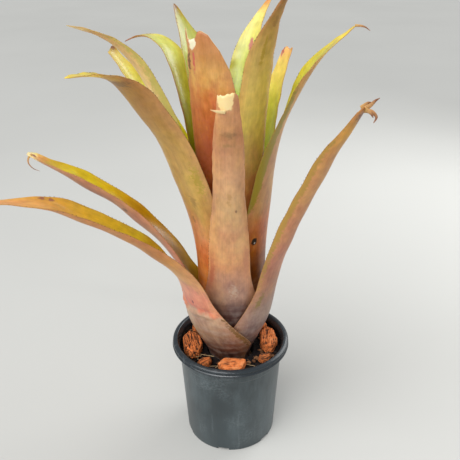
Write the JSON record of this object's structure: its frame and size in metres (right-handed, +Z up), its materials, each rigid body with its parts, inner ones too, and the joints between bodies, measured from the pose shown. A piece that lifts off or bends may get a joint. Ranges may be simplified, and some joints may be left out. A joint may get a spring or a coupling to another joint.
{
  "type": "potted bromeliad",
  "caption": "Tall vase-shaped bromeliad with strap leaves around a central water cup, growing in bark and potting mix in a tapered nursery pot with a rolled rim.",
  "frame": {"origin": "centre of the pot's underside, on the surface that it stands on", "axes": "+Z up along the pot's axis, -Y towards the front of the plant, +X to its right"},
  "size_m": [0.3317, 0.3192, 0.5307],
  "materials": {
    "pot_plastic": "satin blue-black plastic with faint scuffs",
    "potting_mix": "loose damp dark mix",
    "stem": "rough fibrous",
    "bark": "rough orange-brown bark",
    "leaf": "waxy, yellow-green inside, tan to pink outside"
  },
  "bodies": {
    "root": {"pot": "pot_plastic", "potting_mix": "potting_mix", "stem": "stem", "bark_01": "bark", "bark_02": "bark", "bark_03": "bark", "bark_04": "bark", "bark_05": "bark", "bark_06": "bark", "bark_07": "bark", "bark_08": "bark", "bark_09": "bark", "bark_10": "bark", "leaf_low_left": "leaf", "leaf_low_back": "leaf", "leaf_low_right": "leaf", "leaf_stub_left": "leaf", "leaf_front": "leaf", "leaf_stub_back": "leaf", "leaf_left": "leaf", "leaf_right": "leaf", "leaf_front_left": "leaf", "leaf_cut_right": "leaf", "leaf_cut_left": "leaf", "leaf_front_right": "leaf", "leaf_upper_left": "leaf", "leaf_back_right": "leaf", "leaf_center": "leaf", "leaf_arched_back": "leaf", "leaf_back_left": "leaf"}
  },
  "joints": []
}
